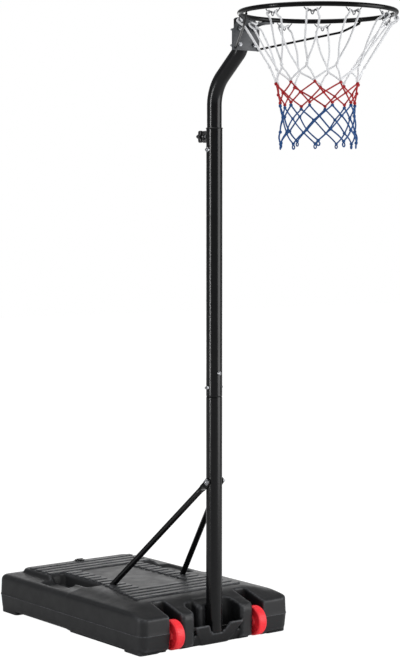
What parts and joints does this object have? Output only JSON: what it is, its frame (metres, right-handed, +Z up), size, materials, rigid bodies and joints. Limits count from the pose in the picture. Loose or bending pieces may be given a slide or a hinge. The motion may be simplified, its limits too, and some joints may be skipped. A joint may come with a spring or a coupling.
{
  "type": "netball post",
  "caption": "Free-standing netball post: wheeled ballast tank, jointed pole with braces, height-adjustable bent mast, ring and cord net.",
  "frame": {"origin": "on the floor under the pole's axis, on the foot under the tank's front tongue", "axes": "+Z up along the pole, -Y forward from the pole to the ring, +Y back along the tank, +X across the tank"},
  "size_m": [0.5216, 1.3411, 1.696],
  "materials": {
    "moulded_black": "blow-moulded polyethylene, fine grain",
    "ballast": "water or wet sand that fills the tank",
    "cap_black": "moulded black plastic",
    "seal_rubber": "soft black rubber",
    "red_plastic": "moulded red plastic with a knurled tread",
    "coated_black": "satin black powder coat on steel",
    "coated_grey": "satin dark grey coat on steel",
    "zinc_steel": "bright zinc plate",
    "white_cord": "braided white polyester cord",
    "red_cord": "braided red polyester cord",
    "blue_cord": "braided blue polyester cord"
  },
  "bodies": {
    "stand": {"base_tank": "moulded_black", "ballast_fill": "ballast", "filler_seal": "seal_rubber", "wheel_axle": "coated_black", "lower_pole": "coated_black", "upper_pole": "coated_black", "pole_collar": "cap_black", "joint_bolt_front": "zinc_steel", "joint_nut_back": "zinc_steel", "joint_bolt_side": "zinc_steel", "joint_nut_side": "zinc_steel", "brace_left": "coated_black", "brace_right": "coated_black", "brace_bolt": "zinc_steel", "brace_nut": "zinc_steel", "brace_washer_left": "zinc_steel", "brace_washer_right": "zinc_steel", "clamp_boss": "coated_black", "stop_screw": "zinc_steel"},
    "hoop_mast": {"mast_tube": "coated_black", "mast_cap": "cap_black", "hoop_bracket": "coated_grey", "u_bolt_lower": "zinc_steel", "u_bolt_upper": "zinc_steel", "u_nut_lower_left": "zinc_steel", "u_nut_lower_right": "zinc_steel", "u_nut_upper_left": "zinc_steel", "u_nut_upper_right": "zinc_steel", "ring": "coated_black", "stay_left": "coated_black", "stay_right": "coated_black", "hook_1": "zinc_steel", "hook_2": "zinc_steel", "hook_3": "zinc_steel", "hook_4": "zinc_steel", "hook_5": "zinc_steel", "hook_6": "zinc_steel", "hook_7": "zinc_steel", "hook_8": "zinc_steel", "hook_9": "zinc_steel", "hook_10": "zinc_steel", "net_white": "white_cord", "net_red": "red_cord", "net_blue": "blue_cord"},
    "left_wheel": {"wheel_left": "red_plastic"},
    "right_wheel": {"wheel_right": "red_plastic"},
    "clamp": {"clamp_screw": "zinc_steel", "clamp_knob": "cap_black"},
    "plug": {"filler_plug": "cap_black"}
  },
  "joints": [
    {"name": "mast_height", "type": "slide", "parent": "stand", "child": "hoop_mast", "axis": [0, 0, 1], "range_m": [-0.05, 0.4]},
    {"name": "left_wheel_spin", "type": "hinge", "parent": "stand", "child": "left_wheel", "pos_m": [-0.1425, 0, 0.045], "axis": [1, 0, 0], "continuous": true},
    {"name": "right_wheel_spin", "type": "hinge", "parent": "stand", "child": "right_wheel", "pos_m": [0.1425, 0, 0.045], "axis": [1, 0, 0], "continuous": true},
    {"name": "knob_turn", "type": "hinge", "parent": "stand", "child": "clamp", "pos_m": [0, 0.038, 1.388], "axis": [0, 1, 0], "range_deg": [0, 720]},
    {"name": "plug_lift", "type": "slide", "parent": "stand", "child": "plug", "axis": [0, 0, 1], "range_m": [0, 0.03]}
  ]
}
